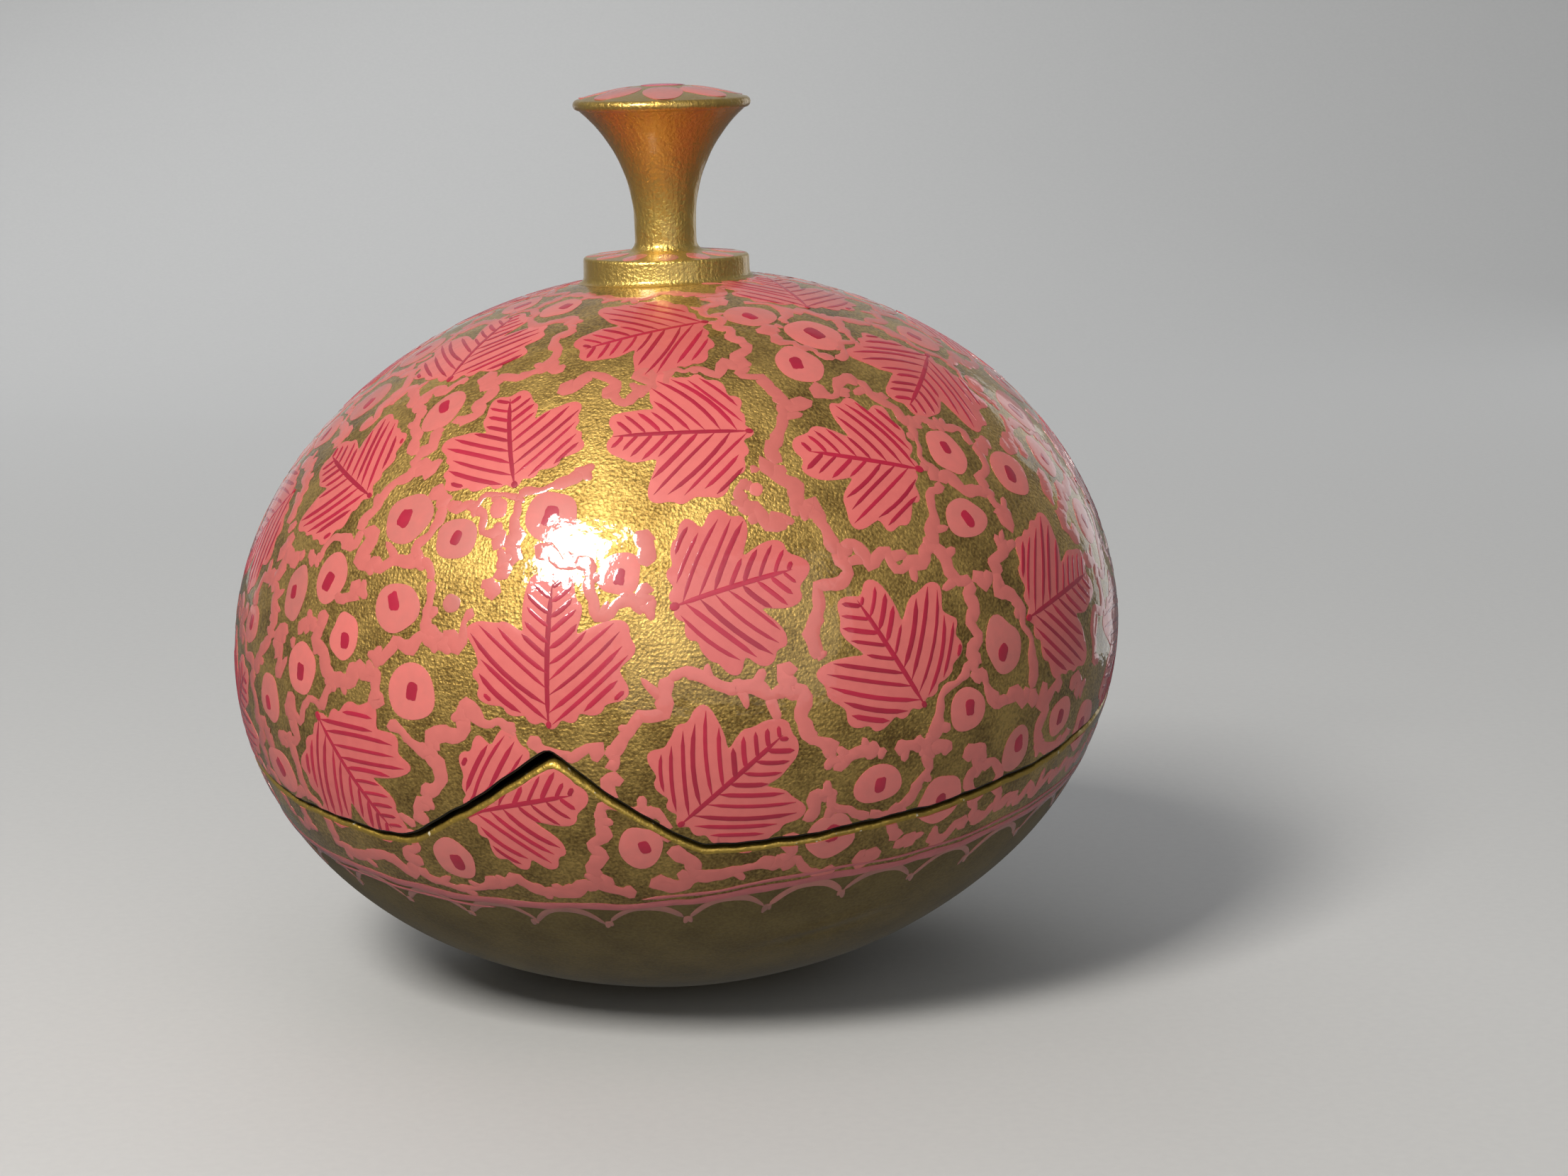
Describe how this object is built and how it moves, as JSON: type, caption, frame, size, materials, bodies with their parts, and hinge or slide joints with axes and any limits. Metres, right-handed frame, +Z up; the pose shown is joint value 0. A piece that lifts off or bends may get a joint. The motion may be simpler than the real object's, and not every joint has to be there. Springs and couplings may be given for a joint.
{
  "type": "lidded gourd box",
  "caption": "Round hand-painted gourd box with a lift-off lid, keyed by one gable tooth in the slanted rim, and a turned wooden knob.",
  "frame": {"origin": "middle of the flat foot, on the surface that the box stands on, with the knob on the Z axis", "axes": "+Z up, -Y towards the front with the tooth, +X to the right seen from the front"},
  "size_m": [0.1298, 0.13, 0.1293],
  "materials": {
    "gourd_shell": "gold paint with pink and crimson brushwork under a glossy clear lacquer",
    "gilt_turned_wood": "turned wood, gilded and lacquered",
    "peg_wood": "plain dowel"
  },
  "bodies": {
    "bowl": {"bowl": "gourd_shell"},
    "lid": {"lid": "gourd_shell", "knob": "gilt_turned_wood", "knob_peg": "peg_wood"}
  },
  "joints": [
    {"name": "lid_lift", "type": "slide", "parent": "bowl", "child": "lid", "axis": [0, 0, 1], "range_m": [0, 0.08]}
  ]
}
